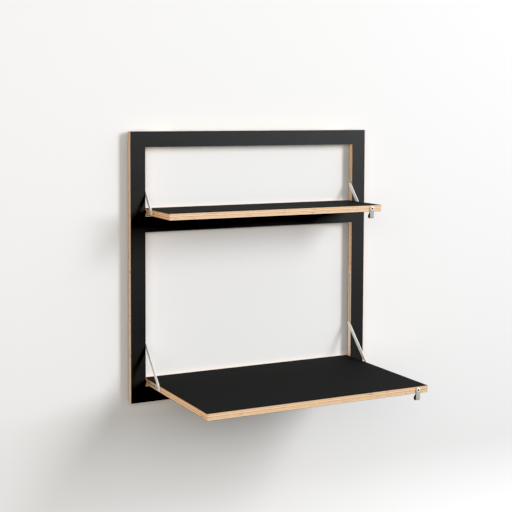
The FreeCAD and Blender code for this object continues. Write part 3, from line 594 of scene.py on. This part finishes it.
def make_side_screws():
    """Screws in the steel strips at the sides of the flaps, two to a strip."""
    for flap, strip in (("desk", "bracket"), ("shelf", "anchor")):
        screws = []
        for side, sign in SIDES.items():
            low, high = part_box(f"{flap}_{strip}_{side}")
            rear, front = high.y - BRACKET_END * MM, low.y + BRACKET_END * MM
            # The front end of the desk's strip holds the stay's stud
            second = (rear + front) / 2 if flap == "desk" else front
            face = high.x if sign > 0 else low.x
            for spot in (rear, second):
                head = (face, spot, (low.z + high.z) / 2)
                screws.append(screw_surface(head, (-sign, 0, 0), "side"))
        name = f"{flap}_{strip}_cross_screws"
        new_piece(name, screws, f"{flap}_flap", "black_steel", f"{flap}_{strip}_screws")


def make_wall_screws():
    """Screws through the hanger plates and the buffers at the back of the frame."""
    hangers, buffers = [], []
    for side in SIDES:
        low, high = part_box(f"hanger_plate_{side}")
        middle = (low + high) / 2
        for sign in SIDES.values():
            head = (middle.x + sign * HANGER_SCREW_SPACING * MM / 2, high.y, middle.z)
            hangers.append(screw_surface(head, (0, -1, 0), "hanger"))
        low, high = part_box(f"wall_buffer_{side}")
        middle = (low + high) / 2
        head = (middle.x, high.y - BUFFER_RECESS * MM, middle.z)
        buffers.append(screw_surface(head, (0, -1, 0), "buffer"))
    new_piece("hanger_cross_screws", hangers, "frame", "zinc_steel", "hanger_screws")
    new_piece("buffer_cross_screws", buffers, "frame", "zinc_steel", "wall_buffer_screws")


# Stage
# Backdrop, metres: level of its floor, half its width, height of its back above the curved foot, front of
# its floor and radius of the foot
FLOOR_LEVEL = -1.46
BACKDROP_HALF = 5.0
BACK_HEIGHT = 3.0
BACKDROP_FRONT = -6.0
FOOT_RADIUS = 0.4
# Rows on the curved foot
FOOT_ROWS = 16


def backdrop_paint():
    """A dull pale paint that is seen from the front only, so that the part can be looked at from behind."""
    # Emulsion paint on plaster: plain pale white and fully dull.
    material = bpy.data.materials.new("pale_emulsion_paint")
    material.use_nodes = True
    tree = material.node_tree
    tree.nodes.clear()
    paint = add(tree, "ShaderNodeBsdfDiffuse", {"Color": linear("#EAEAEA")}).outputs[0]
    clear = add(tree, "ShaderNodeBsdfTransparent").outputs[0]
    behind = add(tree, "ShaderNodeNewGeometry").outputs["Backfacing"]
    mix = add(tree, "ShaderNodeMixShader", {0: behind, 1: paint, 2: clear})
    add(tree, "ShaderNodeOutputMaterial", {"Surface": mix.outputs[0]})
    return material


def make_backdrop():
    """A profile, upright back then quarter circle then level floor, carried straight along X. Only the
    camera sees it: it throws no shadow on the part and gives it no light."""
    angle = np.linspace(0, -math.pi / 2, FOOT_ROWS)
    y = np.concatenate([[0], FOOT_RADIUS * (np.cos(angle) - 1), [BACKDROP_FRONT]])
    height = np.concatenate([[BACK_HEIGHT], FOOT_RADIUS * np.sin(angle), [-FOOT_RADIUS]])
    z = FLOOR_LEVEL + FOOT_RADIUS + height
    x = np.array([-BACKDROP_HALF, BACKDROP_HALF])
    grid = np.stack(np.broadcast_arrays(x[None, :], y[:, None], z[:, None]), axis=-1)
    index = np.arange(grid.shape[0] * 2).reshape(-1, 2)
    quads = np.stack([index[:-1, 0], index[1:, 0], index[1:, 1], index[:-1, 1]], axis=-1)
    mesh = bpy.data.meshes.new("backdrop")
    mesh.from_pydata(grid.reshape(-1, 3).tolist(), [], quads.tolist())
    mesh.shade_smooth()
    mesh.materials.append(backdrop_paint())
    backdrop = bpy.data.objects.new("backdrop", mesh)
    bpy.context.scene.collection.objects.link(backdrop)
    backdrop.visible_shadow = False
    backdrop.visible_diffuse = False
    backdrop.visible_glossy = False


# Oblong area lights: place, width and height in metres, power in watts and tint
LIGHTS = {
    "key_light": ((3.15, -4.15, 1.50), 1.35, 2.90, 208, "#F7FAFF"),
    "fill_light": ((-3.0, -4.0, 0.5), 3.0, 3.0, 99, "#FFFAF0"),
    "front_light": ((-0.6, -2.2, 0.4), 1.0, 1.0, 4.5, "#FFFFFF"),
}
LIGHT_TARGET = (0.0, -0.15, -0.4)
# Light that comes from all round: the reach along each axis from none to full, the strength and the tint
SURROUND = {
    "right": ({"X": (0.2, 0.7), "Z": (-0.35, 0.1)}, 1.35, "#FFFBF5"),
    "behind": ({"Y": (-0.1, 0.2)}, 0.80, "#FFFBF6"),
    "above": ({"Z": (0.55, 0.95)}, 0.55, "#F0F6FF"),
    "below": ({"Z": (-0.15, -0.6)}, 0.30, "#FFFAF3"),
}
# Where the backdrop ends, the camera sees a plain pale tone
PLAIN_TONE = "#E4E3E1"
# Linear level that prints as black: laminate in shade comes close to it
BLACK_LEVEL = 0.022


def make_lights():
    """A tall soft key from the upper right front, a broad fill from the left front and a weak light in
    front, all turned to the part."""
    for name, (place, width, height, power, tint) in LIGHTS.items():
        data = bpy.data.lights.new(name, "AREA")
        data.shape = "RECTANGLE"
        data.size = width
        data.size_y = height
        data.energy = power
        data.color = linear(tint)[:3]
        light = bpy.data.objects.new(name, data)
        light.location = place
        light.rotation_euler = (Vector(LIGHT_TARGET) - Vector(place)).to_track_quat("-Z", "Y").to_euler()
        bpy.context.scene.collection.objects.link(light)


def make_surround():
    """Soft light from the right, from behind, from above and from below: each glow is its strength times a
    ramp along each of its axes, and the glows are added up."""
    world = bpy.data.worlds.new("surround")
    world.use_nodes = True
    tree = world.node_tree
    toward = add(tree, "ShaderNodeSeparateXYZ", {0: add(tree, "ShaderNodeTexCoord").outputs["Generated"]})
    glow = (0.0, 0.0, 0.0)
    for reach, strength, tint in SURROUND.values():
        part = strength
        for axis, (none, full) in reach.items():
            sockets = {"Value": toward.outputs[axis], "From Min": none, "From Max": full, "To Max": part}
            part = add(tree, "ShaderNodeMapRange", sockets).outputs[0]
        colour = {0: linear(tint)[:3], "Scale": part}
        tinted = add(tree, "ShaderNodeVectorMath", colour, operation="SCALE").outputs[0]
        glow = add(tree, "ShaderNodeVectorMath", {0: tinted, 1: glow}, operation="ADD").outputs[0]
    sight = add(tree, "ShaderNodeLightPath").outputs["Is Camera Ray"]
    sockets = {"Fac": sight, "Color1": glow, "Color2": linear(PLAIN_TONE)}
    add(tree, "ShaderNodeMixRGB", sockets, into=tree.nodes["Background"].inputs["Color"])
    bpy.context.scene.world = world


def set_tones():
    """Plain tones, with the deepest ones printed as black."""
    view = bpy.context.scene.view_settings
    view.view_transform = "Standard"
    view.use_curve_mapping = True
    view.curve_mapping.black_level = (BLACK_LEVEL,) * 3
    view.curve_mapping.update()


# Camera: focal length and row of the lens axis in pixels of a 512 pixel frame, sensor width in millimetres,
# place in metres and angles in radians
FRAME_SIZE = 512
FOCAL_LENGTH = 1132.2
SENSOR = 36
CAMERA_PLACE = (-1.5601, -3.1156, 0.0958)
CAMERA_YAW = 0.47018
CAMERA_PITCH = -0.06466
CAMERA_ROLL = 0.00393
AXIS_ROW = 180


def make_camera():
    """A camera in front and to the left, a little above the top rail, whose view is shifted down."""
    data = bpy.data.cameras.new("camera")
    data.sensor_width = SENSOR
    data.lens = FOCAL_LENGTH / FRAME_SIZE * SENSOR
    data.shift_y = (AXIS_ROW - FRAME_SIZE / 2) / FRAME_SIZE
    camera = bpy.data.objects.new("camera", data)
    turn = Matrix.Rotation(-CAMERA_YAW, 4, "Z") @ Matrix.Rotation(math.pi / 2 + CAMERA_PITCH, 4, "X")
    roll = Matrix.Rotation(CAMERA_ROLL, 4, "Z")
    camera.matrix_world = Matrix.Translation(CAMERA_PLACE) @ turn @ roll
    bpy.context.scene.collection.objects.link(camera)
    bpy.context.scene.camera = camera


dress_packed_nodes()
make_pulls()
make_side_screws()
make_wall_screws()
make_backdrop()
make_lights()
make_surround()
set_tones()
make_camera()
